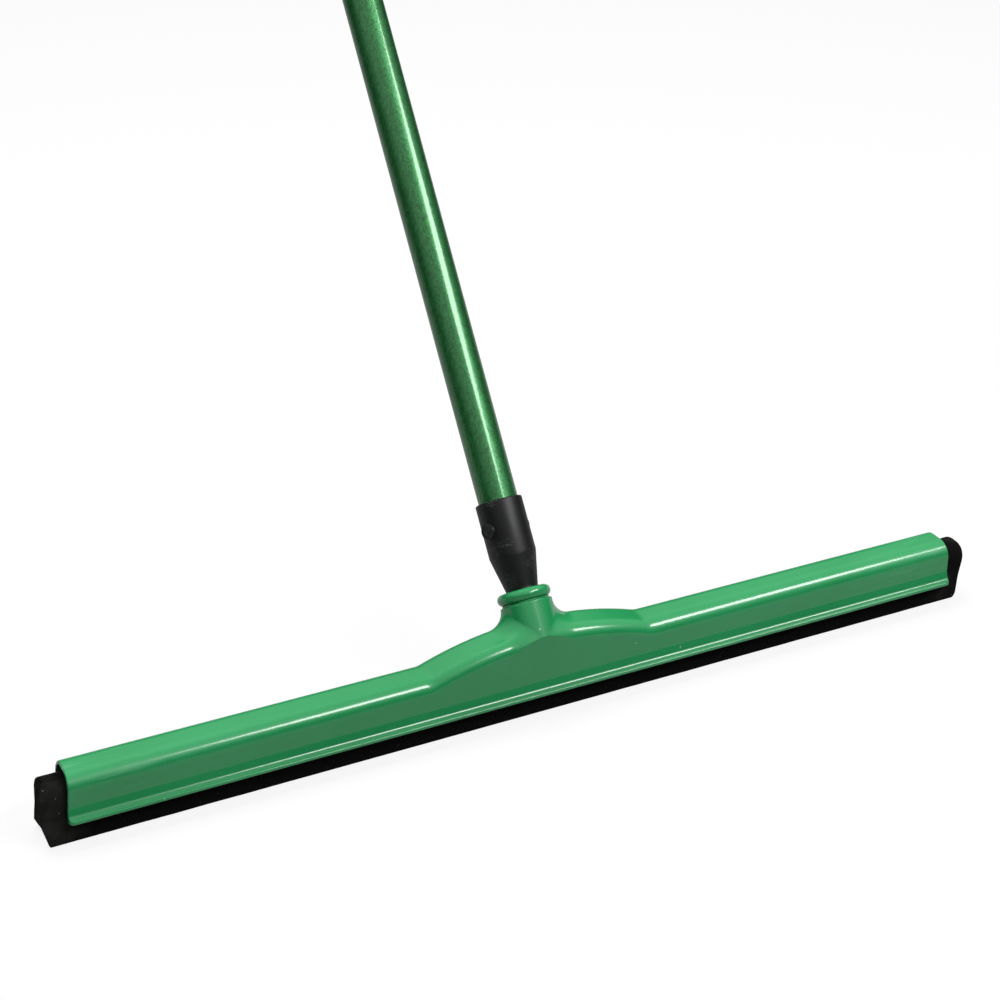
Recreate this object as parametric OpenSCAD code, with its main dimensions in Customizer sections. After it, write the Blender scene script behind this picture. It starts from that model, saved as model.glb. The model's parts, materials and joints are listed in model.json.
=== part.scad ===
// Floor squeegee: a split foam blade in a moulded channel frame, on a handle that screws in.
// X runs along the head and Z points up. The origin is on the floor, under the middle of the
// blade. The handle leans towards +Y, the side that the user stands on.

/* [Frame] */
// Length of the moulded frame
frame_len = 526; // [350:1:800]
// Width of the frame over its two walls
frame_w = 24.8; // [22:0.1:32]
// Height of the frame from the lip's underside to the crest
frame_h = 24.8; // [23:0.1:34]
// Thickness of the frame's walls
frame_wall = 1.8; // [1.4:0.1:2.4]
// Outer radius of the channel's shoulders
shoulder_r = 9; // [6:0.1:10]
// Depth of the ridges inside the walls that pinch the foam
pinch_depth = 0.9; // [0.4:0.1:1.4]
// Width of each pinching ridge at the wall
pinch_w = 2.4; // [1.2:0.1:4]

/* [Lip] */
// How far the lip stands out from the wall
lip_reach = 4.6; // [3.6:0.1:7]
// Thickness of the lip at its round rim
lip_t = 2.2; // [1.4:0.1:2.8]
// Slope of the lip's upper face
lip_slope = 35; // [20:1:50]
// Radius of the hollow between the wall and the lip
lip_fillet = 3.4; // [1.5:0.1:4]
// Radius of the lip's corners, seen from above
lip_corner_r = 3.5; // [1:0.1:4]

/* [Hump] */
// Length of the hump along the crest
hump_len = 128; // [100:1:180]
// Rise of the hump over the channel's crest
hump_rise = 11.5; // [8:0.1:15]
// Outer radius of the hump's shoulders
hump_shoulder_r = 7.5; // [5:0.1:9]
// Thickness of the hump's walls
hump_wall = 2.2; // [2:0.1:3]
// Thickness of the ribs inside the hump
rib_t = 1.6; // [1:0.1:3]
// Distance of each rib from the middle of the hump
rib_x = 31; // [24:0.5:40]

/* [Socket] */
// Lean of the handle from upright
lean = 36; // [25:1:45]
// Height at which the handle's axis crosses the middle of the blade
axis_z = 41; // [38:0.1:44]
// Distance along the axis from that crossing to the top of the socket
socket_top = 19.3; // [17:0.1:24]
// Outer diameter of the socket
socket_d = 27.8; // [26:0.1:32]
// Wall of the socket's boss inside the hump
boss_wall = 2.4; // [1.6:0.1:2.8]
// Radius of the hollow webs that join the socket to the hump
web_r = 11; // [8:0.5:13]
// Thickness of those webs
web_t = 21; // [16:0.5:22]
// Depth of those webs under their hollow edge
web_depth = 10; // [8:0.5:11]

/* [Thread bush] */
// Outer diameter of the bush inside the socket
bush_d = 21.2; // [20.6:0.1:22]
// Length of the bush below the top of the socket
bush_len = 15.3; // [10:0.1:16]
// Gap under the bush, at the floor of the socket
bush_float = 0.3; // [0.1:0.1:0.6]
// Outer diameter of the bead on top of the bush
bead_d = 28.6; // [26:0.1:31]
// Height of the bead
bead_h = 6.6; // [5:0.1:8]
// Diameter of the step under the bead, which leaves a dark groove
groove_d = 25.2; // [23:0.1:26]
// Height of that groove
groove_h = 0.9; // [0.5:0.1:1.5]

/* [Ferrule] */
// Outer diameter of the handle's screw thread
thread_d = 18; // [17:0.1:18.8]
// Gap round each part that turns or slides in another
running_gap = 0.06; // [0.03:0.01:0.09]
// Length of the screw from the bead's top to its tip
thread_len = 22.4; // [16:0.1:22.6]
// Bevel on the screw's tip
tip_bevel = 1.4; // [0.6:0.1:2.5]
// Plain neck showing between the bead and the cone
neck_h = 0.7; // [0.4:0.1:3]
// Length of the cone
cone_h = 18.7; // [12:0.1:26]
// Length of the sleeve round the tube
sleeve_h = 29.2; // [24:0.1:45]
// Thickness of the sleeve's wall
sleeve_wall = 1.95; // [1.4:0.05:2.6]
// Bevel on the sleeve's upper rim
rim_bevel = 0.8; // [0.3:0.1:1.2]
// Diameter of the hollow core of the cone and screw
core_d = 10; // [6:0.1:12]
// Thickness of the closed tip under the core
core_floor = 4; // [2:0.5:8]

/* [Rivets] */
// Diameter of a rivet's head
rivet_head_d = 9.6; // [7:0.1:11]
// Height of a rivet's head over the sleeve
rivet_head_h = 1.3; // [0.8:0.1:2.2]
// Diameter of the raised centre of a rivet's head
rivet_nub_d = 3; // [2:0.1:4]
// Height of that raised centre over the head
rivet_nub_h = 0.5; // [0.2:0.1:1]
// Diameter of a rivet's shank
rivet_d = 4; // [3:0.1:5]
// Distance of the rivets from the sleeve's rim
rivet_drop = 14; // [9:0.1:18]
// Angle of the rivets from the head's length, towards the front
rivet_angle = 18; // [0:1:90]

/* [Handle tube] */
// Outer diameter of the tube
tube_d = 22; // [20:0.1:26]
// Wall of the tube
tube_wall = 0.7; // [0.4:0.1:1.5]
// Length of the tube
tube_len = 1300; // [900:10:1500]

/* [Hanging cap] */
// Wall of the cap round the tube
cap_wall = 1.4; // [1:0.1:3]
// Length of the cap over the tube
cap_grip = 32; // [15:1:50]
// Height of the solid top over the tube's end
cap_top = 5; // [3:0.5:10]
// Thickness of the hanging eye
eye_t = 8; // [5:0.5:12]
// Height of the hole over the solid top
eye_rise = 15; // [12:0.5:25]
// Diameter of the hanging hole
hole_d = 9; // [6:0.5:11]

/* [Foam] */
// Foam showing below the lip
foam_drop = 13.2; // [9:0.1:20]
// Length of the foam strips
foam_len = 546; // [360:1:830]
// How far the strips sit towards the left end
foam_shift = 2.2; // [0:0.1:4]
// Gap over the strips inside the channel
foam_head_gap = 1.2; // [0.8:0.1:3]
// Radius of the strips' upper outer edges
foam_top_r = 7.5; // [7:0.1:9]
// How far each strip's lower edge spreads past the channel's inner wall
foam_spread = 1.3; // [0.5:0.1:2.5]
// Height of the slit between the strips, above which they are glued
slit_h = 20; // [14:0.5:24]
// Half the width of the slit at the floor
slit_half_w = 0.4; // [0.2:0.1:1.2]
// How far the slit lies in front of the middle of the blade
slit_shift = 1.2; // [0:0.1:2.5]

/* [Hidden] */
$fn = 96;
over = 1;

frame_green = "#2f8f56";
tube_green = "#1d6b3a";
foam_black = "#1c1c1c";
plastic_black = "#2a2c2d";

// Heights and half widths of the channel's section
lip_z = foam_drop;
crest_z = lip_z + frame_h;
half_w = frame_w/2;
inner_half = half_w - frame_wall;
inner_top = crest_z - frame_wall;
inner_r = shoulder_r - frame_wall;
lip_half = half_w + lip_reach;

// The lip's rim is round, and its upper face runs from the rim to a hollow against the wall
rim_r = lip_t/2;
rim_at = [lip_half - rim_r, lip_z + rim_r];
rim_top = rim_at + rim_r*[sin(lip_slope), cos(lip_slope)];
hollow_y = half_w + lip_fillet*(1 - sin(lip_slope));
hollow_z = rim_top[1] + (rim_top[0] - hollow_y)*tan(lip_slope);
hollow_at = [half_w + lip_fillet, hollow_z + lip_fillet*cos(lip_slope)];

// The ridges that pinch the foam run inside both walls, level with the top of the slit
pinch_z = slit_h + pinch_w;

// The hump is the channel's section swept along an arc whose crest starts and ends on the channel
arch_r = (pow(hump_len/2, 2) + pow(hump_rise, 2))/(2*hump_rise);
arch_z = crest_z + hump_rise - arch_r;
arch_half_angle = asin((hump_len/2 + hump_shoulder_r)/arch_r);
arch_depth = hump_rise + shoulder_r + over;
function arch_crest(x) = arch_z + sqrt(arch_r*arch_r - x*x);

// Places along the handle's axis, counted from where it crosses the middle of the blade
seat_z = socket_top + running_gap;
bead_z = socket_top + groove_h;
bead_top = bead_z + bead_h;
bush_bottom = socket_top - bush_len;
socket_floor = bush_bottom - bush_float;
cone_z = bead_top + neck_h;
sleeve_z = cone_z + cone_h;
rim_z = sleeve_z + sleeve_h;
screw_tip = bead_top - thread_len;
tube_end = sleeve_z + tube_len;
rivet_z = rim_z - rivet_drop;
eye_z = tube_end + cap_top + eye_rise;

thread_r = thread_d/2;
bush_bore_r = thread_r + running_gap;
bush_r = bush_d/2;
socket_r = socket_d/2;
socket_bore_r = bush_r + running_gap;
tube_r = tube_d/2;
tube_bore_r = tube_r + running_gap;
sleeve_r = tube_bore_r + sleeve_wall;
cap_r = tube_bore_r + cap_wall;
rivet_hole_r = rivet_d/2 + running_gap;

// A web's hollow is tangent to the socket, below its top, and runs a little below the hump's crest
web_sink = 2;
web_x = socket_r + web_r;
web_z = min((arch_crest(web_x) - axis_z)/cos(lean) - web_sink + web_r, socket_top - groove_h);
web_edge_r = hump_shoulder_r;
web_sweep = 100;

// Upright section of the foam strips
foam_top = inner_top - foam_head_gap;
foam_edge_r = 1;
foam_nip = 0.1;

// Draws its children with Z along the handle's axis and X along the head
module on_axis() {
    translate([0, 0, axis_z]) rotate([-lean, 0, 0]) children();
}

// Draws a section, given as Y across and Z up, along the head
module along_head(length) {
    rotate([90, 0, 90]) linear_extrude(length, center = true) children();
}

// A block with two round upper corners
module shouldered(half, bottom, top, r) {
    translate([-half, bottom]) square([2*half, top - r - bottom]);
    translate([r - half, bottom]) square([2*(half - r), top - bottom]);
    for (side = [-1, 1])
        translate([side*(half - r), top - r]) circle(r);
}

module lip_section() {
    difference() {
        polygon([[0, lip_z], [rim_at[0], lip_z], rim_at, rim_top, [hollow_y, hollow_z], hollow_at,
            [0, hollow_at[1]]]);
        translate(hollow_at) circle(lip_fillet);
    }
    translate(rim_at) circle(rim_r);
}

// One pinching ridge, a low triangle on the inner face of the wall at +Y
module pinch_section(grow = 0) {
    polygon([[inner_half + over, pinch_z - pinch_w/2 - over], [inner_half, pinch_z - pinch_w/2],
        [inner_half - pinch_depth - grow, pinch_z], [inner_half, pinch_z + pinch_w/2],
        [inner_half + over, pinch_z + pinch_w/2 + over]]);
}

// The plan of the frame, with round corners on the lip only
module plan_outline() {
    corner_x = frame_len/2 - lip_corner_r;
    corner_y = lip_half - lip_corner_r;
    square([frame_len, 2*corner_y], center = true);
    square([2*corner_x, 2*lip_half], center = true);
    for (x = [-1, 1], y = [-1, 1])
        translate([x*corner_x, y*corner_y]) circle(lip_corner_r);
}

// A shouldered section swept along the hump's arc
module arch(half, depth, top_r, r) {
    translate([0, 0, arch_z]) rotate([90, 0, 0]) rotate([0, 0, 90 - arch_half_angle])
        rotate_extrude(angle = 2*arch_half_angle, $fn = 360)
            rotate(-90) shouldered(half, top_r - depth, top_r, r);
}

// One hollow web between the socket and the hump, on the right side
module web() {
    half = web_t/2;
    translate([web_x, 0, web_z]) rotate([90, 0, 0]) rotate([0, 0, 180])
        rotate_extrude(angle = web_sweep)
            translate([web_r + web_depth, 0]) rotate(90) shouldered(half, 0, web_depth, web_edge_r);
}

module frame_outside() {
    intersection() {
        along_head(frame_len) {
            shouldered(half_w, lip_z, crest_z, shoulder_r);
            lip_section();
            mirror([1, 0]) lip_section();
        }
        linear_extrude(crest_z + over) plan_outline();
    }
    arch(half_w, arch_depth, arch_r, hump_shoulder_r);
    intersection() {
        on_axis() {
            translate([0, 0, -socket_r]) cylinder(r = socket_r, h = socket_top + socket_r);
            web();
            mirror([1, 0, 0]) web();
        }
        translate([-hump_len/2, -half_w, lip_z]) cube([hump_len, 4*half_w, 4*frame_h]);
    }
}

// The hollow of the hump, with the socket's boss and the ribs left standing
module hump_hollow() {
    difference() {
        arch(half_w - hump_wall, arch_depth, arch_r - hump_wall, hump_shoulder_r - hump_wall);
        on_axis() translate([0, 0, -2*socket_r])
            cylinder(r = socket_bore_r + boss_wall, h = 4*socket_r);
        for (side = [-1, 1])
            translate([side*rib_x - rib_t/2, -half_w, lip_z])
                cube([rib_t, 2*half_w, 4*frame_h]);
    }
}

module squeegee_frame() {
    color(frame_green) {
        difference() {
            frame_outside();
            along_head(frame_len + 2*over)
                shouldered(inner_half, lip_z - over, inner_top, inner_r);
            hump_hollow();
            on_axis() translate([0, 0, socket_floor])
                cylinder(r = socket_bore_r, h = bush_float + bush_len + over);
        }
        along_head(frame_len) {
            pinch_section();
            mirror([1, 0]) pinch_section();
        }
    }
}

// One strip of the blade, from the slit at split to its outer face at +Y: glued to its twin above
// the slit, and spread a little below the lip
module foam_section(split) {
    difference() {
        union() {
            intersection() {
                shouldered(inner_half, lip_z, foam_top, foam_top_r);
                translate([split, lip_z]) square([inner_half - split, foam_top - lip_z]);
            }
            polygon([[split, slit_h], [split + slit_half_w, 0],
                [inner_half + foam_spread - foam_edge_r, 0], [inner_half + foam_spread, foam_edge_r],
                [inner_half, lip_z], [inner_half, slit_h]]);
        }
        polygon([[split - over, -over], [split + slit_half_w, 0], [split, slit_h],
            [split - over, slit_h]]);
        pinch_section(grow = foam_nip);
    }
}

module foam_strip(split) {
    color(foam_black) translate([-foam_shift, 0, 0]) along_head(foam_len) foam_section(split);
}

module front_foam_strip() {
    mirror([0, 1, 0]) foam_strip(slit_shift);
}

module rear_foam_strip() {
    foam_strip(-slit_shift);
}

// The screw socket's bush: a sleeve in the frame with a round bead on top
module thread_bush() {
    bead_r = bead_h/2;
    bead_axis = bead_d/2 - bead_r;
    color(frame_green) on_axis() rotate_extrude() {
        translate([bush_bore_r, bush_bottom]) square([bush_r - bush_bore_r, bead_z - bush_bottom]);
        translate([bush_bore_r, seat_z]) square([groove_d/2 - bush_bore_r, bead_z - seat_z]);
        translate([bush_bore_r, bead_z]) square([bead_axis - bush_bore_r, bead_h]);
        difference() {
            translate([bead_axis, bead_z + bead_r]) circle(bead_r);
            translate([0, bead_z]) square([bush_bore_r, bead_h]);
        }
    }
}

module rivet_places() {
    for (turn = [180, 360])
        translate([0, 0, rivet_z]) rotate([0, 0, turn + rivet_angle]) rotate([0, 90, 0]) children();
}

// The handle's lower end: a screw, a cone and a sleeve that holds the tube
module ferrule() {
    color(plastic_black) on_axis() difference() {
        rotate_extrude() polygon([[core_d/2, screw_tip + core_floor], [core_d/2, sleeve_z],
            [tube_bore_r, sleeve_z], [tube_bore_r, rim_z], [sleeve_r - rim_bevel, rim_z],
            [sleeve_r, rim_z - rim_bevel], [sleeve_r, sleeve_z], [thread_r, cone_z],
            [thread_r, screw_tip + tip_bevel], [thread_r - tip_bevel, screw_tip], [0, screw_tip],
            [0, screw_tip + core_floor]]);
        rivet_places() cylinder(r = rivet_hole_r, h = 2*sleeve_r);
    }
}

// Two rivets through the sleeve and the tube, on opposite sides
module ferrule_rivets() {
    head_top = sleeve_r + rivet_head_h;
    shank_in = tube_r - 2*tube_wall;
    color(plastic_black) on_axis() rivet_places() {
        difference() {
            translate([0, 0, tube_r]) cylinder(d = rivet_head_d, h = head_top - tube_r);
            rotate([0, 90, 0]) cylinder(r = sleeve_r + running_gap, h = 2*rivet_head_d, center = true);
        }
        translate([0, 0, head_top - over/2]) cylinder(d = rivet_nub_d, h = rivet_nub_h + over/2);
        translate([0, 0, shank_in]) cylinder(d = rivet_d, h = head_top - over/2 - shank_in);
    }
}

module handle_tube() {
    color(tube_green) on_axis() difference() {
        translate([0, 0, sleeve_z]) cylinder(r = tube_r, h = tube_len);
        translate([0, 0, sleeve_z - over]) cylinder(r = tube_r - tube_wall, h = tube_len + 2*over);
        rivet_places() cylinder(r = rivet_hole_r, h = 2*tube_r);
    }
}

// The cap at the top of the handle, flattened to an eye with a hole to hang it by
module hanging_cap() {
    shoulder = cap_r - eye_t/2;
    color(plastic_black) on_axis() difference() {
        union() {
            translate([0, 0, tube_end - cap_grip]) cylinder(r = cap_r, h = cap_grip + cap_top);
            translate([0, 0, tube_end + cap_top])
                cylinder(r1 = cap_r, r2 = cap_r - shoulder/2, h = shoulder/2);
            intersection() {
                union() {
                    translate([0, 0, tube_end]) cylinder(r = cap_r, h = eye_z - tube_end);
                    translate([0, 0, eye_z]) sphere(cap_r);
                }
                translate([-cap_r, -eye_t/2, tube_end]) cube([2*cap_r, eye_t, 4*eye_rise]);
            }
        }
        translate([0, 0, tube_end - cap_grip - over]) cylinder(r = tube_bore_r, h = cap_grip + over);
        translate([0, 0, eye_z]) rotate([90, 0, 0]) cylinder(d = hole_d, h = 2*cap_r, center = true);
    }
}

squeegee_frame();
front_foam_strip();
rear_foam_strip();
thread_bush();
ferrule();
ferrule_rivets();
handle_tube();
hanging_cap();
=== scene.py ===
"""Looks of a floor squeegee: a moulded channel frame with a foam blade and a screw-in tube handle.

Shapes are worked out in millimetres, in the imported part's own frame, and become metres when a
mesh is made. Places along the handle are counted from where its axis crosses the blade's middle."""
import json
import math

import bmesh
import bpy
import numpy as np
from mathutils import Matrix, Vector, noise


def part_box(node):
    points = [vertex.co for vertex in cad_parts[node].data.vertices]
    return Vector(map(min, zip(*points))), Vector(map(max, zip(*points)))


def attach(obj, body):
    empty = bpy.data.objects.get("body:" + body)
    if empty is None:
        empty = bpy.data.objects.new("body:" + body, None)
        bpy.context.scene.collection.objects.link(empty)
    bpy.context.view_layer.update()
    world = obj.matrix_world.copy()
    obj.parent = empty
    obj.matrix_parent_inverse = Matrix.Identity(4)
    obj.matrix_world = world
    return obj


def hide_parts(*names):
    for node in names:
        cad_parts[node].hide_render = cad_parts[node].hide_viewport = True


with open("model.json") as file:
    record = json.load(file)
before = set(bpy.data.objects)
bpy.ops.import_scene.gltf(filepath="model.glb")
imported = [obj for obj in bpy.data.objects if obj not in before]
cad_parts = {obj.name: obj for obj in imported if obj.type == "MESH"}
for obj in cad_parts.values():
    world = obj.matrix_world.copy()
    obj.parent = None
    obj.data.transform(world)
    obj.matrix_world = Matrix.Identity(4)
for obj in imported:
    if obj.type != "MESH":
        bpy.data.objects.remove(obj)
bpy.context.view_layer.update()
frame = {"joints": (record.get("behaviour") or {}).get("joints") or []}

MM = 0.001


def corners(node):
    """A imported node's lowest and highest corner, in millimetres."""
    low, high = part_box(node)
    return np.array(low) / MM, np.array(high) / MM


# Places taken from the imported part
frame_low, frame_high = corners("squeegee_frame")
foam_low, foam_high = corners("front_foam_strip")
screw_joint = next(j for j in frame["joints"] if j["name"] == "handle_turn")
AXIS_FOOT = np.array(screw_joint["pos_m"]) / MM
AXIS = np.array(screw_joint["axis"])
SIDE = np.array([1.0, 0.0, 0.0])
FACE = np.cross(SIDE, AXIS)

# Channel section
LEFT_END = frame_low[0] - 1.4
RIGHT_END = frame_high[0] + 3.0
END_LEAN = 0.12
LIP_HALF = -frame_low[1]
LIP_Z = frame_low[2]
HALF_W = 12.4
CREST_Z = 38.0
WALL = 1.8
SHOULDER_R = 9.0
LIP_SLOPE = math.radians(26)
LIP_RIM_R = 1.1
LIP_FILLET = 0.7
FLARE_TOP = 20.6
FLARE_TILT = math.radians(20)
FLARE_REACH = 2.0
LIP_CORNER_R = 3.5
END_ROUND = 0.5

# Hump and socket
HUMP_HALF = 64.0
HUMP_RISE = 10.9
HUMP_SHOULDER_R = 7.5
HUMP_WALL = 2.2
HUMP_REACH = 82.0
CREASE = 0.7
RIB_X = 31.0
RIB_T = 1.6
ARCH_R = (HUMP_HALF**2 + HUMP_RISE**2) / (2 * HUMP_RISE)
ARCH_Z = CREST_Z + HUMP_RISE - ARCH_R
SOCKET_R = 14.4
SOCKET_TOP = 19.3
SOCKET_FLOOR = 3.7
SOCKET_BORE_R = 10.66
BOSS_WALL = 2.4
SOCKET_EDGE = 0.5
FRONT_BLEND = 2.6
SIDE_BLEND = 10.0

# How far the frame's grid reaches past its skin, to its back and up, where it is fine, and its steps
END_MARGIN = 1.2
SKIN_MARGIN = 1.1
SOCKET_BACK = 27.0
SOCKET_PEAK = 67.0
SOCKET_SPAN = 24.0
HUMP_SPAN = HUMP_REACH + 4
LEFT_FINE = 7.0
RIGHT_FINE = 6.0
WALL_FINE = HALF_W - 0.8
LIP_FINE = FLARE_TOP + 1
LIP_STEP = 0.45
WALL_STEP = 0.7
SOCKET_STEP = 0.6
HUMP_STEP = 1.1
RUN_STEP = 10.0

# Bush, along the handle's axis
BUSH_BOTTOM = 4.0
BUSH_R = 10.6
BUSH_BORE_R = 9.06
BUSH_EDGE = 0.4
GROOVE_R = 13.2
BEAD_FOOT = 20.2
BEAD_H = 6.6
BEAD_R = 14.8
BEAD_TOP = BEAD_FOOT + BEAD_H
BEAD_ROUND = BEAD_H / 2 * 0.97
BUSH_SEAT = SOCKET_TOP + 0.06

# Ferrule and tube, along the handle's axis
SCREW_TIP = 4.4
SCREW_R = 9.0
SCREW_CORE_R = 7.7
SCREW_WIRE_R = 1.3
SCREW_PITCH = 5.0
THREAD_FOOT = SCREW_TIP + 2.6
THREAD_TOP = BEAD_TOP - 2.4
TIP_BEVEL = (1.2, 1.4)
VENT_R = 0.6
CORE_R = 5.0
CORE_FOOT = SCREW_TIP + 4
CONE_FOOT = 27.5
SLEEVE_FOOT = 46.2
SLEEVE_TOP = 76.8
SLEEVE_R = 13.01
CONE_R = SLEEVE_R - 0.18
TUBE_R = 11.0
TUBE_BORE_R = 10.3
TUBE_SEAT_R = 11.06
TUBE_END = SLEEVE_FOOT + 1300
TUBE_STEP = 40.0

# Rivets, along their own axis from the foot of the shank
RIVET_S = 61.4
RIVET_TURN = math.radians(19)
RIVET_FOOT = TUBE_R - 0.6
RIVET_SHANK_R = 2.0
RIVET_HEAD_FOOT = 1.0
RIVET_HEAD_R = 4.8
RIVET_HEAD_TOP = SLEEVE_R + 0.75 - RIVET_FOOT
RIVET_RIM_R = RIVET_HEAD_R - 1.0
RIVET_DISH_R = RIVET_HEAD_R - 1.5
RIVET_DISH = RIVET_HEAD_TOP - 0.35
RIVET_NUB_R = 1.5
RIVET_NUB_TOP = RIVET_HEAD_TOP + 0.3
RIVET_POLE_R = 0.01

# Hanging cap
CAP_R = 12.46
CAP_FOOT = TUBE_END - 32
CAP_SHOULDER = TUBE_END + 5
CAP_EDGE = 1.2
EYE_T = 8.0
EYE_S = CAP_SHOULDER + 15
EYE_EDGE = 2.2
EYE_FOOT_EDGE = 0.5
EYE_BLEND = 4.5
HOLE_R = 4.5
HOLE_EDGE = 1.2
CAP_MARGIN = 1.2
CAP_STEP = 0.55
CAP_LONG_STEP = 0.6

# Foam strips
FOAM_TOP = foam_high[2] - 2.2
SLIT_Y = foam_high[1]
SLIT_H = 20.0
SLIT_HALF_W = 0.4
FOAM_HALF_IN = HALF_W - WALL - 0.05
FOAM_HALF_OUT = -foam_low[1]
FOAM_TOP_R = 8.8
FOAM_END_R = 0.8
FOAM_STEP = 1.1
FRONT_SPLAY = 3.4
REAR_SPLAY = 1.6
# How far each strip reaches at its cut ends, as (height, place along the head)
FRONT_LEFT_CUT = ((0, -274.3), (3, -275.0), (12, -277.2), (30, -277.0), (35, -275.4))
REAR_LEFT_CUT = ((0, -274.4), (4, -276.4), (15, -275.2), (33, -273.8), (35, -273.4))
RIGHT_CUT = ((0, 272.6), (3, 274.6), (20, 277.4), (30, 279.0), (35, 279.0))
# Rings of a flat cut face, as shares of the way in from its edge
FACE_RINGS = (0.85, 0.7, 0.55, 0.4, 0.25)
# Waves and grain of the foam's skin: how often they come, and how deep they are
WAVE_RATE = np.array([0.05, 0.09, 0.09])
GRAIN_RATE = np.array([0.5, 0.6, 0.6])
WAVE_DEPTH = 0.15
GRAIN_DEPTH = 0.06
END_GRAIN_DEPTH = 0.08
WIPING_EDGE = 2.0


# Distances: each takes points and gives how far they lie outside a shape

def shoulders(across, up, half, top, r):
    """A bar of endless depth with two round upper edges."""
    side = np.abs(across) - (half - r)
    over = up - (top - r)
    return np.hypot(np.maximum(side, 0), np.maximum(over, 0)) + np.minimum(np.maximum(side, over), 0) - r


def join(a, b, r):
    """Both shapes, with a round fillet of radius r where they meet."""
    return np.maximum(r, np.minimum(a, b)) - np.hypot(np.maximum(r - a, 0), np.maximum(r - b, 0))


def common(a, b, r):
    """What lies in both shapes, with its edge rounded to radius r."""
    return -join(-a, -b, r)


def soft_min(a, b, width):
    """Both shapes, with a narrow soft crease."""
    near = np.maximum(width - np.abs(a - b), 0) / width
    return np.minimum(a, b) - near * near * width / 4


def along_axis(p):
    """Places of points on the handle's own axes: to the side, to the face and along."""
    q = p - AXIS_FOOT
    return q @ SIDE, q @ FACE, q @ AXIS


def lip_distance(y, z):
    """The sloping lip with its round rim."""
    rim_y, rim_z = LIP_HALF - LIP_RIM_R, LIP_Z + LIP_RIM_R
    y = np.abs(y)
    slope = (y - rim_y) * math.sin(LIP_SLOPE) + (z - rim_z) * math.cos(LIP_SLOPE) - LIP_RIM_R
    rim = np.hypot(y - rim_y, z - rim_z) - LIP_RIM_R
    return np.minimum(np.maximum(slope, y - rim_y), rim)


def flare_distance(y, z):
    """The foot of the wall, which leans out a little above the lip."""
    out = np.abs(y) - HALF_W
    lean = out * math.cos(FLARE_TILT) + (z - FLARE_TOP) * math.sin(FLARE_TILT)
    return np.maximum(np.maximum(lean, out - FLARE_REACH), z - FLARE_TOP)


def frame_inside(p, side, face):
    """The hollow of the channel and of the hump, with the socket's boss and the ribs left standing."""
    x, y, z = p[..., 0], p[..., 1], p[..., 2]
    rise = np.hypot(x, z - ARCH_Z)
    channel = shoulders(y, z, HALF_W - WALL, CREST_Z - WALL, SHOULDER_R - WALL)
    hump = shoulders(y, rise, HALF_W - HUMP_WALL, ARCH_R - HUMP_WALL, HUMP_SHOULDER_R - HUMP_WALL)
    hump = np.maximum(hump, SOCKET_BORE_R + BOSS_WALL - np.hypot(side, face))
    hump = np.maximum(hump, RIB_T / 2 - np.abs(np.abs(x) - RIB_X))
    hump = np.maximum(hump, np.abs(x) - HUMP_REACH)
    return np.minimum(channel, hump)


def frame_distance(p):
    """The whole moulding: channel, hump, socket and lip, cut at its ends and hollow inside."""
    x, y, z = p[..., 0], p[..., 1], p[..., 2]
    side, face, s = along_axis(p)
    radial = np.hypot(side, face)
    rise = np.hypot(x, z - ARCH_Z)
    channel = shoulders(y, z, HALF_W, CREST_Z, SHOULDER_R)
    hump = np.maximum(shoulders(y, rise, HALF_W, ARCH_R, HUMP_SHOULDER_R), np.abs(x) - HUMP_REACH)
    body = np.maximum(soft_min(channel, hump, CREASE), np.abs(y) - HALF_W)
    sideways = side**2 / (side**2 + face**2 + 1e-6)
    blend = FRONT_BLEND + (SIDE_BLEND - FRONT_BLEND) * sideways
    body = join(body, np.maximum(radial - SOCKET_R, -SOCKET_R - s), blend)
    body = np.maximum(common(body, s - SOCKET_TOP, SOCKET_EDGE), -y - HALF_W)
    body = np.minimum(body, flare_distance(y, z))
    body = join(body, lip_distance(y, z), LIP_FILLET)
    body = common(body, LIP_Z - z, END_ROUND / 2)
    left = LEFT_END + (z - LIP_Z) * END_LEAN
    past = np.maximum(x - RIGHT_END, left - x) + LIP_CORNER_R
    wide = np.abs(y) - (LIP_HALF - LIP_CORNER_R)
    corner = np.hypot(np.maximum(past, 0), np.maximum(wide, 0)) - LIP_CORNER_R
    plan = np.where(z < FLARE_TOP, corner, past - LIP_CORNER_R)
    body = common(body, plan, END_ROUND)
    bore = np.maximum(radial - SOCKET_BORE_R, SOCKET_FLOOR - s)
    return np.maximum(np.maximum(body, -frame_inside(p, side, face)), -bore)


def cap_distance(q):
    """The hanging cap, on the handle's own axes."""
    side, face, s = q[..., 0], q[..., 1], q[..., 2]
    radial = np.hypot(side, face)
    barrel = common(radial - CAP_R, np.maximum(s - CAP_SHOULDER, CAP_FOOT - s), CAP_EDGE)
    outline = np.hypot(side, np.maximum(s - EYE_S, 0)) - CAP_R
    eye = common(common(np.abs(face) - EYE_T / 2, outline, EYE_EDGE), TUBE_END - s, EYE_FOOT_EDGE)
    rim = np.where(s < CAP_SHOULDER, radial - CAP_R, outline)
    solid = np.maximum(join(barrel, eye, EYE_BLEND), rim)
    solid = common(solid, HOLE_R - np.hypot(side, s - EYE_S), HOLE_EDGE)
    return np.maximum(solid, -np.maximum(radial - TUBE_SEAT_R, s - TUBE_END))


# Meshes

def slope_of(distance, p, step=0.02):
    """The gradient of a distance at points."""
    parts = []
    for k in range(3):
        d = np.zeros(3)
        d[k] = step
        parts.append((distance(p + d) - distance(p - d)) / (2 * step))
    return np.stack(parts, -1)


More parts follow.
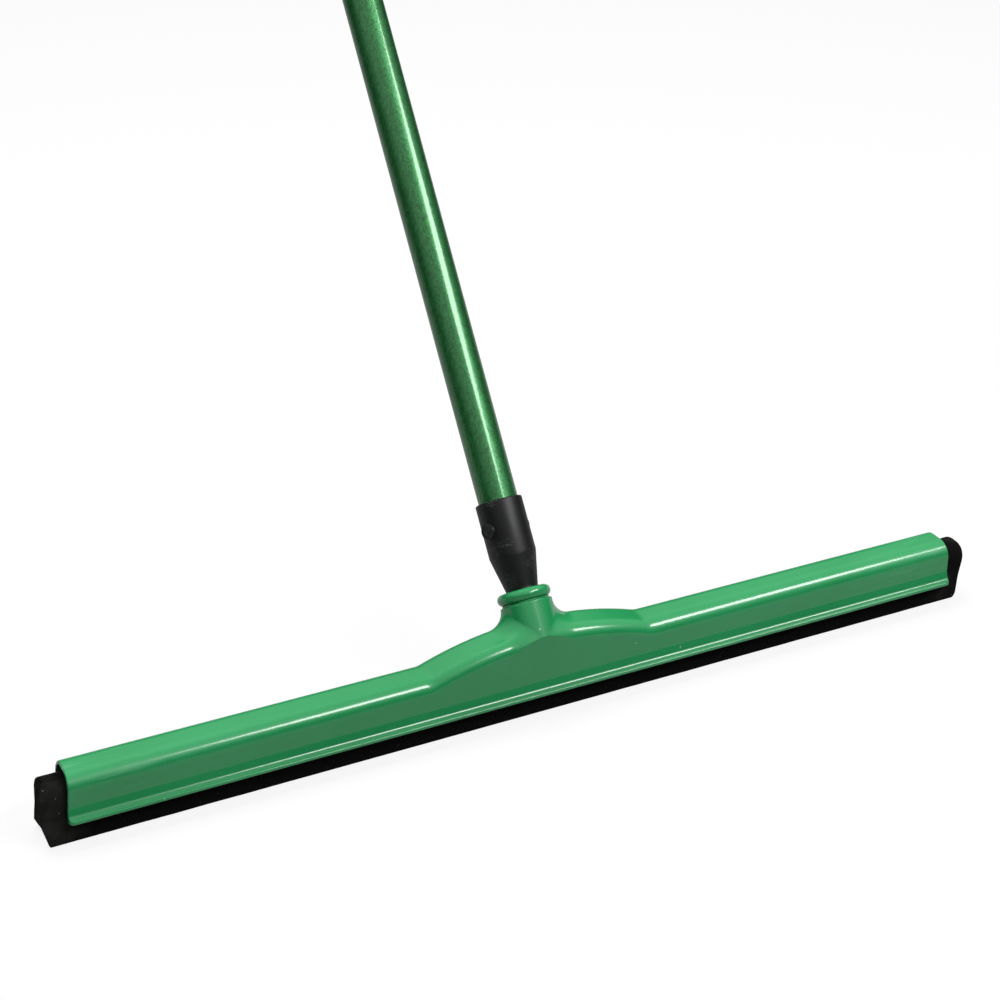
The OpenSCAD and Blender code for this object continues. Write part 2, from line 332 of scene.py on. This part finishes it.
def surface_net(distance, axes, passes=4):
    """The closed skin where a distance is zero: one point for each grid cell that it crosses, drawn
    onto the skin, and one quad for each grid edge. Gives points, quads and the skin's normals."""
    grid = np.stack(np.meshgrid(*axes, indexing="ij"), -1)
    d = distance(grid)
    cells = tuple(n - 1 for n in d.shape)
    total = np.zeros(cells + (3,))
    count = np.zeros(cells)
    crossed = []
    for a in range(3):
        first = tuple(slice(None, -1) if k == a else slice(None) for k in range(3))
        second = tuple(slice(1, None) if k == a else slice(None) for k in range(3))
        cut = (d[first] < 0) != (d[second] < 0)
        at = np.argwhere(cut)
        t = (d[first][cut] / (d[first][cut] - d[second][cut]))[:, None]
        point = grid[first][cut] * (1 - t) + grid[second][cut] * t
        ring = []
        for back_b, back_c in ((1, 1), (0, 1), (0, 0), (1, 0)):
            cell = at.copy()
            cell[:, (a + 1) % 3] -= back_b
            cell[:, (a + 2) % 3] -= back_c
            ring.append(tuple(cell.T))
            np.add.at(total, ring[-1], point)
            np.add.at(count, ring[-1], 1)
        crossed.append((ring, d[first][cut] < 0))
    used = count > 0
    number = np.full(cells, -1)
    number[used] = np.arange(used.sum())
    points = total[used] / count[used][:, None]
    quads = []
    for ring, outward in crossed:
        quad = np.stack([number[cell] for cell in ring], 1)
        quads.append(np.where(outward[:, None], quad, quad[:, ::-1]))
    for _ in range(passes):
        g = slope_of(distance, points)
        points = points - g * (distance(points) / np.maximum((g * g).sum(-1), 0.05))[:, None]
    g = slope_of(distance, points)
    return points, np.concatenate(quads), g / np.linalg.norm(g, axis=-1)[:, None]


def steps(*stretches):
    """Grid places along one axis, from (start, end, step) stretches that follow one another."""
    places = [np.linspace(a, b, max(2, round((b - a) / step) + 1))[:-1] for a, b, step in stretches]
    return np.concatenate(places + [[stretches[-1][1]]])


def to_frame(q):
    """Points on the handle's own axes, in the part's frame."""
    return AXIS_FOOT + q @ np.stack([SIDE, FACE, AXIS])


def linked(name, data):
    """An object in the scene."""
    obj = bpy.data.objects.new(name, data)
    bpy.context.scene.collection.objects.link(obj)
    return obj


def piece(name, points, faces, finish, normals=None, sharp=None):
    """A mesh object from points in millimetres and lists of faces."""
    mesh = bpy.data.meshes.new(name)
    mesh.from_pydata((np.asarray(points) * MM).tolist(), [], faces)
    mesh.materials.append(finish)
    mesh.shade_smooth()
    if sharp is not None:
        mesh.set_sharp_from_angle(angle=math.radians(sharp))
    if normals is not None:
        mesh.normals_split_custom_set_from_vertices(normals.tolist())
    return linked(name, mesh)


def dress(obj, body, slot, *nodes):
    """Sets a finished piece on its body, in place of the nodes that it stands for."""
    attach(obj, body)
    if nodes:
        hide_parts(*nodes)


def rounded(corner_list, turn_step=math.radians(12)):
    """A closed outline from (across, up, radius) corners, with an arc at each corner that has a radius."""
    outline = []
    n = len(corner_list)
    for i, (a, b, r) in enumerate(corner_list):
        here = np.array([a, b], float)
        back = np.array(corner_list[i - 1][:2], float) - here
        on = np.array(corner_list[(i + 1) % n][:2], float) - here
        back, on = back / np.linalg.norm(back), on / np.linalg.norm(on)
        half = math.acos(max(-1, min(1, float(back @ on)))) / 2
        if r <= 0 or half > math.radians(89):
            outline.append(here)
            continue
        middle = here + (back + on) / np.linalg.norm(back + on) * r / math.sin(half)
        start = here + back * r / math.tan(half) - middle
        sweep = math.pi - 2 * half
        sweep = sweep if back[0] * on[1] - back[1] * on[0] < 0 else -sweep
        count = max(2, math.ceil(abs(sweep) / turn_step))
        for k in range(count + 1):
            c, s = math.cos(sweep * k / count), math.sin(sweep * k / count)
            outline.append(middle + [start[0] * c - start[1] * s, start[0] * s + start[1] * c])
    return np.array(outline)


def lathe(outline, around=128):
    """Points and quads of a closed outline of (radius, along), turned about the handle's axis."""
    angle = np.arange(around) * 2 * math.pi / around
    n = len(outline)
    q = np.zeros((around, n, 3))
    q[..., 0] = outline[:, 0] * np.sin(angle)[:, None]
    q[..., 1] = outline[:, 0] * np.cos(angle)[:, None]
    q[..., 2] = outline[:, 1]
    j, i = np.meshgrid(np.arange(around), np.arange(n), indexing="ij")
    on_j, on_i = (j + 1) % around, (i + 1) % n
    quads = np.stack([j * n + i, on_j * n + i, on_j * n + on_i, j * n + on_i], -1)
    return q.reshape(-1, 3), quads.reshape(-1, 4)


def turned(name, outline, finish, sharp, around=128):
    """A piece turned about the handle's axis, in its place."""
    points, quads = lathe(outline, around)
    return piece(name, to_frame(points), quads.tolist(), finish, sharp=sharp)


# Nodes and finishes

class Value:
    """A node's socket that takes part in sums."""

    def __init__(self, nodes, socket):
        self.nodes = nodes
        self.socket = socket

    def sum_of(self, operation, other):
        return self.nodes.node("ShaderNodeMath", {"operation": operation}, {0: self, 1: other})

    def __add__(self, other):
        return self.sum_of("ADD", other)

    __radd__ = __add__

    def __mul__(self, other):
        return self.sum_of("MULTIPLY", other)

    __rmul__ = __mul__

    def __abs__(self):
        return self.sum_of("ABSOLUTE", 0.0)


class Nodes:
    """Makes and links the nodes of one tree."""

    def __init__(self, tree):
        self.tree = tree
        self.tree.nodes.clear()

    def node(self, kind, settings=None, sockets=None, out=0):
        made = self.tree.nodes.new(kind)
        for key, value in (settings or {}).items():
            setattr(made, key, value)
        for key, value in (sockets or {}).items():
            if isinstance(value, Value):
                self.tree.links.new(value.socket, made.inputs[key])
            else:
                made.inputs[key].default_value = value
        return Value(self, made.outputs[out]) if len(made.outputs) else None

    def rays(self):
        """Whether a ray comes from the camera, from a mirroring surface or through a clear one."""
        kinds = ("Is Camera Ray", "Is Glossy Ray", "Is Transmission Ray")
        return [self.node("ShaderNodeLightPath", out=kind) for kind in kinds]


class Finish(Nodes):
    """A material built from nodes."""

    def __init__(self, name):
        self.material = bpy.data.materials.new(name)
        self.material.use_nodes = True
        super().__init__(self.material.node_tree)

    def place(self, scale=(1, 1, 1), turn=(0, 0, 0)):
        """Where on the piece a point lies, stretched and turned."""
        where = self.node("ShaderNodeTexCoord", out="Object")
        return self.node("ShaderNodeMapping", {}, {"Vector": where, "Scale": scale, "Rotation": turn})

    def part(self, vector, axis):
        """One number of a place or a colour."""
        return self.node("ShaderNodeSeparateXYZ", {}, {"Vector": vector}, out=axis)

    def clouds(self, where, scale, detail=2.0, rough=0.5):
        return self.node("ShaderNodeTexNoise", {}, {"Vector": where, "Scale": scale, "Detail": detail,
                                                    "Roughness": rough})

    def cells(self, where, scale, out="Distance"):
        return self.node("ShaderNodeTexVoronoi", {}, {"Vector": where, "Scale": scale}, out=out)

    def ramp(self, value, low, high):
        """A value that runs from 0 to 1 as another goes from low to high."""
        return self.node("ShaderNodeMapRange", {"interpolation_type": "SMOOTHSTEP"},
                         {"Value": value, "From Min": low, "From Max": high})

    def mix(self, share, first, second):
        """A colour between two. Its sockets go by number, as those of other kinds share their names."""
        return self.node("ShaderNodeMix", {"data_type": "RGBA"}, {0: share, 6: first, 7: second}, out=2)

    def bump(self, height, depth, strength, under=None):
        sockets = {"Height": height, "Distance": depth, "Strength": strength}
        if under is not None:
            sockets["Normal"] = under
        return self.node("ShaderNodeBump", {}, sockets)

    def end(self, shader):
        self.node("ShaderNodeOutputMaterial", {}, {"Surface": shader})
        return self.material

    def surface(self, **sockets):
        """Ends the material in one plain shader. Socket names have _ for a space."""
        named = {key.replace("_", " "): value for key, value in sockets.items()}
        return self.end(self.node("ShaderNodeBsdfPrincipled", {}, named))


def linear(red, green, blue):
    """A colour given as it looks on a screen, 0 to 255."""
    part = [v / 255 for v in (red, green, blue)]
    part = [v / 12.92 if v <= 0.04045 else ((v + 0.055) / 1.055) ** 2.4 for v in part]
    return (*part, 1.0)


def grey(shade):
    return (shade, shade, shade, 1.0)


def green_plastic():
    """Glossy moulding, duller and scuffed at the channel's two ends, with a few pale specks."""
    f = Finish("green_moulded_plastic")
    where = f.place()
    flow = f.clouds(where, 14.0, 3.0)
    streak = f.clouds(f.place((25, 260, 260)), 1.0, 3.0, 0.65)
    ends = f.ramp(abs(f.part(where, "X")), 0.185, 0.258) * f.ramp(f.part(where, "Z"), 0.022, 0.027)
    scuff = f.ramp(streak, 0.52, 0.72) * ends
    rare = f.ramp(f.part(f.cells(where, 70.0, "Color"), "X"), 0.82, 0.84)
    speck = f.ramp(f.cells(where, 70.0), 0.045, 0.02) * rare
    body = f.mix(f.ramp(flow, 0.3, 0.7), linear(34, 156, 88), linear(40, 163, 95))
    body = f.mix(scuff * 0.25, body, linear(120, 205, 160))
    body = f.mix(speck * 0.8, body, linear(205, 235, 215))
    peel = f.bump(f.clouds(where, 420.0), 0.00003, 0.5)
    grain = f.bump(f.clouds(where, 2600.0), 0.00002, 0.4, peel)
    return f.surface(Base_Color=body, Roughness=0.2 + 0.06 * flow + 0.12 * ends + 0.15 * scuff, IOR=1.5,
                     Coat_Weight=0.8, Coat_Roughness=0.12, Normal=grain)


def lacquered_tube():
    """Metallic green lacquer, with fine flakes that break up its highlight."""
    f = Finish("metallic_green_lacquer")
    lean = math.acos(AXIS[2])
    where = f.place(turn=(lean, 0, 0))
    drawn = f.clouds(f.place((700, 700, 25), (lean, 0, 0)), 1.0, 3.0)
    flake = f.part(f.cells(where, 2600.0, "Color"), "X")
    broad = f.clouds(where, 30.0)
    shade = f.ramp(flake, 0.0, 1.0) * 0.65 + f.ramp(drawn, 0.3, 0.7) * 0.35
    body = f.mix(shade, linear(20, 86, 40), linear(58, 148, 80))
    grain = f.bump(flake, 0.00006, 0.3)
    return f.surface(Base_Color=body, Metallic=0.55, Roughness=0.3 + 0.12 * broad, Coat_Weight=0.9,
                     Coat_Roughness=0.11, Normal=grain)


def black_plastic():
    """Satin black moulding with grey handling scuffs."""
    f = Finish("satin_black_plastic")
    where = f.place()
    patch = f.clouds(where, 60.0, 4.0, 0.6)
    scratch = f.clouds(f.place((420, 420, 1500), (0.5, 0.4, 0)), 1.0, 3.0, 0.7)
    scuff = f.ramp(patch, 0.5, 0.66) * f.ramp(scratch, 0.45, 0.7)
    body = f.mix(scuff * 0.35, linear(15, 16, 17), linear(120, 124, 122))
    grain = f.bump(f.clouds(where, 1600.0), 0.00005, 0.35)
    return f.surface(Base_Color=body, Roughness=0.38 + 0.18 * scuff + 0.08 * patch, IOR=1.45, Normal=grain)


def black_foam():
    """Matt cellular foam: fine pores with painted shade in their pits, a few pale grains of dust, greyer
    where it is rubbed.
    """
    f = Finish("black_cell_foam")
    where = f.place()
    pore_pit_and_shade = f.cells(where, 1300.0)
    open_cell = f.cells(where, 520.0)
    rubbed = f.clouds(where, 35.0, 3.0, 0.6)
    ends = f.ramp(abs(f.part(where, "X")), 0.25, 0.268)
    # Painted shade: the colour goes darker in each pore's pit, where the bump sinks the skin.
    body = f.mix(f.ramp(pore_pit_and_shade, 0.15, 0.55), linear(5, 6, 5), linear(16, 16, 15))
    body = f.mix(ends * f.ramp(rubbed, 0.35, 0.75) * 0.6, body, linear(64, 63, 60))
    dust = f.ramp(f.cells(where, 240.0), 0.1, 0.05)
    body = f.mix(dust * (0.15 + 0.5 * ends), body, linear(128, 124, 114))
    grain = f.bump(pore_pit_and_shade, 0.0002, 0.8, f.bump(open_cell, 0.0003, 0.5))
    return f.surface(Base_Color=body, Roughness=0.92, Specular_IOR_Level=0.08, Normal=grain)


PLASTIC = green_plastic()
LACQUER = lacquered_tube()
BLACK = black_plastic()
FOAM = black_foam()


# Pieces of the head

def frame_moulding():
    """The channel with its hump, socket and lip, finer at its ends and round the socket."""
    left, right = LEFT_END - END_MARGIN, RIGHT_END + END_MARGIN
    left_in, right_in = left + LEFT_FINE, right - RIGHT_FINE
    hump, wall, lip = HUMP_SPAN, WALL_FINE, LIP_HALF + SKIN_MARGIN
    x = steps((left, left_in, WALL_STEP), (left_in, -hump, RUN_STEP), (-hump, -SOCKET_SPAN, HUMP_STEP),
              (-SOCKET_SPAN, SOCKET_SPAN, SOCKET_STEP), (SOCKET_SPAN, hump, HUMP_STEP),
              (hump, right_in, RUN_STEP), (right_in, right, WALL_STEP))
    y = steps((-lip, -wall, LIP_STEP), (-wall, wall, WALL_STEP), (wall, lip, LIP_STEP),
              (lip, SOCKET_BACK, WALL_STEP))
    z = steps((LIP_Z - SKIN_MARGIN, LIP_FINE, LIP_STEP), (LIP_FINE, SOCKET_PEAK, WALL_STEP))
    points, quads, normals = surface_net(frame_distance, (x, y, z))
    obj = piece("frame_moulding", points, quads.tolist(), PLASTIC, normals)
    dress(obj, "head", "green_plastic", "squeegee_frame")


def bead_bush():
    """The threaded bush, whose round bead stands on the socket over a groove."""
    outline = rounded([(BUSH_BORE_R, BUSH_BOTTOM, BUSH_EDGE), (BUSH_R, BUSH_BOTTOM, BUSH_EDGE),
                       (BUSH_R, BUSH_SEAT, 0), (GROOVE_R, BUSH_SEAT, 0.1), (GROOVE_R, BEAD_FOOT, 0),
                       (BEAD_R, BEAD_FOOT, BEAD_ROUND), (BEAD_R, BEAD_TOP, BEAD_ROUND),
                       (BUSH_BORE_R, BEAD_TOP, 0.8)])
    dress(turned("bead_bush", outline, PLASTIC, 40), "bush", "green_plastic", "thread_bush")


def foam_section(split):
    """A strip's outline, as (across, up) points about a millimetre apart."""
    outline = rounded([(split + SLIT_HALF_W, 0, 0.5), (FOAM_HALF_OUT, 0, 1.3), (FOAM_HALF_IN, LIP_Z + 1, 4),
                       (FOAM_HALF_IN, FOAM_TOP, FOAM_TOP_R), (split, FOAM_TOP, 0.6), (split, SLIT_H, 6)])
    section = []
    for a, b in zip(outline, np.roll(outline, -1, axis=0)):
        count = max(1, round(np.linalg.norm(b - a) / FOAM_STEP))
        section += [a + (b - a) * k / count for k in range(count)]
    return np.array(section)


def foam_loops(half):
    """Where a strip's sections lie, as (share of its length, shift, inset): the flat cut faces, their
    round edges and the run between them."""
    end = [(0.0, share * half) for share in FACE_RINGS]
    end += [(FOAM_END_R * (1 - math.cos(a)), FOAM_END_R * (1 - math.sin(a)) * np.ones(2))
            for a in np.linspace(0, math.pi / 2, 5)]
    shares = steps((0.0, 0.05, 0.004), (0.05, 0.95, 0.005), (0.95, 1.0, 0.004))
    run = [(share, 0.0, np.zeros(2)) for share in shares[1:-1]]
    return [(0.0, d, k) for d, k in end] + run + [(1.0, -d, k) for d, k in reversed(end)]


def waved(points):
    """Moves the foam's skin a little where it stands free of the frame, with no lift at its wiping edge."""
    for p in points:
        if p[2] < LIP_Z - 1 or not LEFT_END - 1 < p[0] < RIGHT_END + 1:
            wave = noise.noise(Vector(p * WAVE_RATE))
            grain = noise.noise(Vector(p * GRAIN_RATE))
            lift = GRAIN_DEPTH * grain if p[2] > WIPING_EDGE else 0.0
            p += [END_GRAIN_DEPTH * grain, WAVE_DEPTH * wave + GRAIN_DEPTH * grain, lift]
    return points


def foam_strip(name, node, outward, split, left_cut, splay):
    """One strip, as sections along the head between two cut ends, with a little waviness."""
    section = foam_section(split)
    half = np.array([(FOAM_HALF_IN - split) / 2, FOAM_TOP / 2])
    middle = half + [split, 0]
    rings = []
    for share, shift, inset in foam_loops(half):
        local = middle + (section - middle) * (1 - inset / half)
        left, right = [np.interp(local[:, 1], *np.array(cut).T) for cut in (left_cut, RIGHT_CUT)]
        left = left + splay * np.clip((FOAM_HALF_IN - local[:, 0]) / (2 * half[0]), 0, 1)
        x = left + (right - left) * share + shift
        rings.append(np.stack([x, outward * local[:, 0], local[:, 1]], -1))
    points = waved(np.concatenate(rings))
    n = len(section)
    k, i = np.meshgrid(np.arange(len(rings) - 1), np.arange(n), indexing="ij")
    on = (i + 1) % n
    quads = np.stack([k * n + i, k * n + on, (k + 1) * n + on, (k + 1) * n + i], -1).reshape(-1, 4)
    ends = [list(range(n)), list(range(len(points) - n, len(points)))]
    obj = piece(name, points, quads.tolist() + ends, FOAM)
    skin = bmesh.new()
    skin.from_mesh(obj.data)
    bmesh.ops.triangulate(skin, faces=[f for f in skin.faces if len(f.verts) > 4])
    bmesh.ops.recalc_face_normals(skin, faces=skin.faces)
    skin.to_mesh(obj.data)
    skin.free()
    obj.data.set_sharp_from_angle(angle=math.radians(48))
    dress(obj, "head", "black_foam", node)


# Pieces of the handle

def ferrule_body():
    """The handle's plastic tip: the screw's core, the cone and the sleeve round the tube."""
    bevel_in, bevel_up = TIP_BEVEL
    outline = rounded([(CORE_R, CORE_FOOT, 0.5), (VENT_R, CORE_FOOT, 0), (VENT_R, SCREW_TIP, 0),
                       (SCREW_CORE_R - bevel_in, SCREW_TIP, 0.3), (SCREW_CORE_R, SCREW_TIP + bevel_up, 0.3),
                       (SCREW_CORE_R, BEAD_TOP - 1.6, 0.4), (SCREW_R, BEAD_TOP - 0.6, 0.3),
                       (SCREW_R, CONE_FOOT, 1.5), (CONE_R, SLEEVE_FOOT - 0.5, 3),
                       (CONE_R, SLEEVE_FOOT, 0.05), (SLEEVE_R, SLEEVE_FOOT + 0.15, 0.1),
                       (SLEEVE_R, SLEEVE_TOP, 0.9), (TUBE_SEAT_R, SLEEVE_TOP, 0.5),
                       (TUBE_SEAT_R, SLEEVE_FOOT, 0), (CORE_R, SLEEVE_FOOT, 0.5)])
    dress(turned("ferrule_body", outline, BLACK, 35), "handle", "black_plastic", "ferrule")


def node_tree(name, **inputs):
    """A geometry tree, and its named inputs as values."""
    tree = bpy.data.node_groups.new(name, "GeometryNodeTree")
    nodes = Nodes(tree)
    for label, kind in inputs.items():
        tree.interface.new_socket(label, in_out="INPUT", socket_type="NodeSocket" + kind)
    tree.interface.new_socket("Geometry", in_out="OUTPUT", socket_type="NodeSocketGeometry")
    return nodes, [nodes.node("NodeGroupInput", out=label) for label in inputs]


def grown(name, nodes, shape, **values):
    """Ends a geometry tree, sets its inputs by identifier and gives the plain mesh that it makes."""
    fused = nodes.node("GeometryNodeRealizeInstances", {}, {"Geometry": shape})
    painted = nodes.node("GeometryNodeSetMaterial", {}, {"Geometry": fused, "Material": BLACK})
    nodes.node("NodeGroupOutput", {}, {"Geometry": painted})
    obj = linked(name, bpy.data.meshes.new(name))
    modifier = obj.modifiers.new(name, "NODES")
    modifier.node_group = nodes.tree
    for item in nodes.tree.interface.items_tree:
        if item.in_out == "INPUT":
            modifier[item.identifier] = values[item.name]
    bpy.context.view_layer.update()
    shown = obj.evaluated_get(bpy.context.evaluated_depsgraph_get())
    mesh = bpy.data.meshes.new_from_object(shown)
    obj.modifiers.clear()
    obj.data = mesh
    return obj


def handle_matrix(s, turn=0.0):
    """Sets a mesh made about Z, in metres, on the handle's axis at a place along it."""
    foot = (AXIS_FOOT + AXIS * s) * MM
    basis = Matrix((Vector(FACE), Vector(SIDE), Vector(AXIS))).transposed().to_4x4()
    return Matrix.Translation(Vector(foot)) @ basis @ Matrix.Rotation(turn, 4, "Z")


def screw_thread():
    """The ferrule's coarse round thread, swept along a helix."""
    nodes, (radius, height, turns, wire_radius) = node_tree(
        "round_thread", Path_radius="Float", Height="Float", Turns="Float", Wire_radius="Float")
    helix = nodes.node("GeometryNodeCurveSpiral", {}, {
        "Resolution": 48, "Rotations": turns, "Start Radius": radius, "End Radius": radius, "Height": height})
    wire = nodes.node("GeometryNodeCurvePrimitiveCircle", {}, {"Resolution": 12, "Radius": wire_radius})
    swept = nodes.node("GeometryNodeCurveToMesh", {}, {"Curve": helix, "Profile Curve": wire,
                                                       "Fill Caps": True})
    length = THREAD_TOP - THREAD_FOOT
    obj = grown("screw_thread", nodes, swept, Path_radius=(SCREW_R - SCREW_WIRE_R) * MM, Height=length * MM,
                Turns=length / SCREW_PITCH, Wire_radius=SCREW_WIRE_R * MM)
    obj.data.transform(handle_matrix(THREAD_FOOT))
    obj.data.shade_smooth()
    dress(obj, "handle", "black_plastic")


def rivet_heads():
    """The two round buttons on the sleeve: one turned shape, set on both sides."""
    outline = rounded([(RIVET_POLE_R, 0, 0), (RIVET_SHANK_R, 0, 0), (RIVET_SHANK_R, RIVET_HEAD_FOOT, 0),
                       (RIVET_HEAD_R, RIVET_HEAD_FOOT, 0), (RIVET_HEAD_R, RIVET_HEAD_TOP, 0.45),
                       (RIVET_RIM_R, RIVET_HEAD_TOP, 0.3), (RIVET_DISH_R, RIVET_DISH, 0.3),
                       (RIVET_NUB_R + 0.5, RIVET_DISH, 0.2), (RIVET_NUB_R, RIVET_NUB_TOP, 0.4),
                       (RIVET_POLE_R, RIVET_NUB_TOP, 0)])
    points, quads = lathe(outline, 48)
    one = piece("rivet_shape", points, quads[:, ::-1].tolist(), BLACK, sharp=40)
    nodes, (count, rivet, first, last) = node_tree(
        "rivet_pair", Count="Int", Rivet="Object", First="Vector", Last="Vector")
    line = nodes.node("GeometryNodeMeshLine", {"mode": "END_POINTS"}, {
        "Count": count, "Start Location": first, "Offset": last})
    shape = nodes.node("GeometryNodeObjectInfo", {}, {"Object": rivet}, out="Geometry")
    outwards = nodes.node("FunctionNodeAlignRotationToVector", {"axis": "Z"}, {
        "Vector": nodes.node("GeometryNodeInputPosition")})
    pair = nodes.node("GeometryNodeInstanceOnPoints", {}, {"Points": line, "Instance": shape,
                                                           "Rotation": outwards})
    obj = grown("rivet_heads", nodes, pair, Count=2, Rivet=one, First=(0, -RIVET_FOOT * MM, 0),
                Last=(0, RIVET_FOOT * MM, 0))
    bpy.data.objects.remove(one)
    obj.data.transform(handle_matrix(RIVET_S, RIVET_TURN))
    obj.data.shade_smooth()
    obj.data.set_sharp_from_angle(angle=math.radians(40))
    dress(obj, "handle", "black_plastic", "ferrule_rivets")


def handle_tube():
    """The lacquered tube, from the sleeve's foot to the cap."""
    length = steps((SLEEVE_FOOT, TUBE_END, TUBE_STEP))
    outline = np.array([(TUBE_R, s) for s in length] + [(TUBE_BORE_R, s) for s in length[::-1]])
    dress(turned("tube_body", outline, LACQUER, 40, 96), "handle", "green_tube", "handle_tube")


def cap_moulding():
    """The cap with its hanging eye. The handle's axes are left-handed, so its quads are turned round."""
    reach = CAP_R + CAP_MARGIN
    across = steps((-reach, reach, CAP_STEP))
    along = steps((CAP_FOOT - CAP_MARGIN, EYE_S + CAP_R + CAP_MARGIN, CAP_LONG_STEP))
    points, quads, normals = surface_net(cap_distance, (across, across, along))
    normals = normals @ np.stack([SIDE, FACE, AXIS])
    obj = piece("cap_moulding", to_frame(points), quads[:, ::-1].tolist(), BLACK, normals)
    dress(obj, "handle", "black_plastic", "hanging_cap")


frame_moulding()
bead_bush()
foam_strip("foam_front", "front_foam_strip", -1, -SLIT_Y, FRONT_LEFT_CUT, FRONT_SPLAY)
foam_strip("foam_rear", "rear_foam_strip", 1, SLIT_Y, REAR_LEFT_CUT, REAR_SPLAY)
ferrule_body()
screw_thread()
handle_tube()
cap_moulding()
rivet_heads()


# Studio, with places in metres

WHITE = grey(1.0)
FLOOR_REACH = 9000
FLOOR_DROP = -0.2
FLOOR_SEEN = 0.95
FLOOR_BOUNCE = 0.32
FLOOR_GLOW = 0.86
FLOOR_MIRRORED = 0.12
ROOM_R = 6.0
HEAD_MIDDLE = (0, 0, 0.03)
# The photograph's view, fitted to its straight edges
CAMERA_AT = Vector((-0.42513, -0.84497, 0.62898))
CAMERA_RIGHT = Vector((0.90052, -0.43477, -0.00607))
CAMERA_UP = Vector((0.20918, 0.42095, 0.88263))
CAMERA_BACK = Vector((-0.38118, -0.7961, 0.47002))
CAMERA_LENS = 73.89


def pale_floor():
    """A floor that shows white to the camera, is dim in mirrors and keeps the shadow."""
    f = Finish("pale_floor")
    seen, gloss, clear = f.rays()
    glow = seen.sum_of("MAXIMUM", gloss * FLOOR_MIRRORED).sum_of("MAXIMUM", clear)
    tone = f.mix(seen, grey(FLOOR_BOUNCE), grey(FLOOR_SEEN))
    plain = f.node("ShaderNodeBsdfDiffuse", {}, {"Color": tone})
    white = f.node("ShaderNodeEmission", {}, {"Color": WHITE, "Strength": 1.0})
    return f.end(f.node("ShaderNodeMixShader", {}, {0: glow * FLOOR_GLOW, 1: plain, 2: white}))


def floor():
    signs = ((-1, -1), (1, -1), (1, 1), (-1, 1))
    points = [(x * FLOOR_REACH, y * FLOOR_REACH, FLOOR_DROP) for x, y in signs]
    piece("floor", points, [[0, 1, 2, 3]], pale_floor())


def sky():
    """A faint cool light all round, which shows white to the camera."""
    world = bpy.data.worlds.new("studio")
    world.use_nodes = True
    bpy.context.scene.world = world
    nodes = Nodes(world.node_tree)
    seen, gloss, clear = nodes.rays()
    soft = nodes.node("ShaderNodeBackground", {}, {"Color": (0.9, 0.95, 1.0, 1), "Strength": 0.1})
    white = nodes.node("ShaderNodeBackground", {}, {"Color": WHITE, "Strength": 1.0})
    share = seen.sum_of("MAXIMUM", gloss).sum_of("MAXIMUM", clear)
    both = nodes.node("ShaderNodeMixShader", {}, {0: share, 1: soft, 2: white})
    nodes.node("ShaderNodeOutputWorld", {}, {"Surface": both})


def room():
    """The dim room that shiny surfaces mirror: dark round the horizon, lighter overhead."""
    f = Finish("dim_room")
    tone = f.mix(f.ramp(f.part(f.place(), "Z"), 1.3, 4.2), grey(0.01), grey(0.6))
    finish = f.end(f.node("ShaderNodeEmission", {}, {"Color": tone, "Strength": 1.0}))
    shell = bmesh.new()
    bmesh.ops.create_uvsphere(shell, u_segments=48, v_segments=24, radius=ROOM_R)
    mesh = bpy.data.meshes.new("room")
    shell.to_mesh(mesh)
    shell.free()
    mesh.materials.append(finish)
    obj = linked("room", mesh)
    obj.visible_camera = obj.visible_diffuse = obj.visible_shadow = obj.visible_transmission = False


def softbox(name, at, aim, width, height, power, mirrored=True):
    """A rectangular lamp that faces a point."""
    lamp = bpy.data.lights.new(name, "AREA")
    lamp.shape = "RECTANGLE"
    lamp.size, lamp.size_y, lamp.energy = width, height, power
    obj = linked(name, lamp)
    obj.location = at
    obj.rotation_euler = (Vector(aim) - Vector(at)).to_track_quat("-Z", "Y").to_euler()
    obj.visible_glossy = mirrored


def camera():
    data = bpy.data.cameras.new("photo_view")
    data.lens = CAMERA_LENS
    data.sensor_width = 36.0
    obj = linked("photo_view", data)
    turn = Matrix((CAMERA_RIGHT, CAMERA_UP, CAMERA_BACK)).transposed().to_4x4()
    obj.matrix_world = Matrix.Translation(CAMERA_AT) @ turn
    bpy.context.scene.camera = obj


floor()
room()
sky()
softbox("key_softbox", (0.85, -1.05, 1.55), (0.05, 0, 0.03), 1.25, 0.42, 22)
softbox("top_softbox", (-0.1, 0.75, 2.2), HEAD_MIDDLE, 1.5, 1.2, 46, mirrored=False)
camera()
bpy.context.scene.view_settings.view_transform = "Standard"
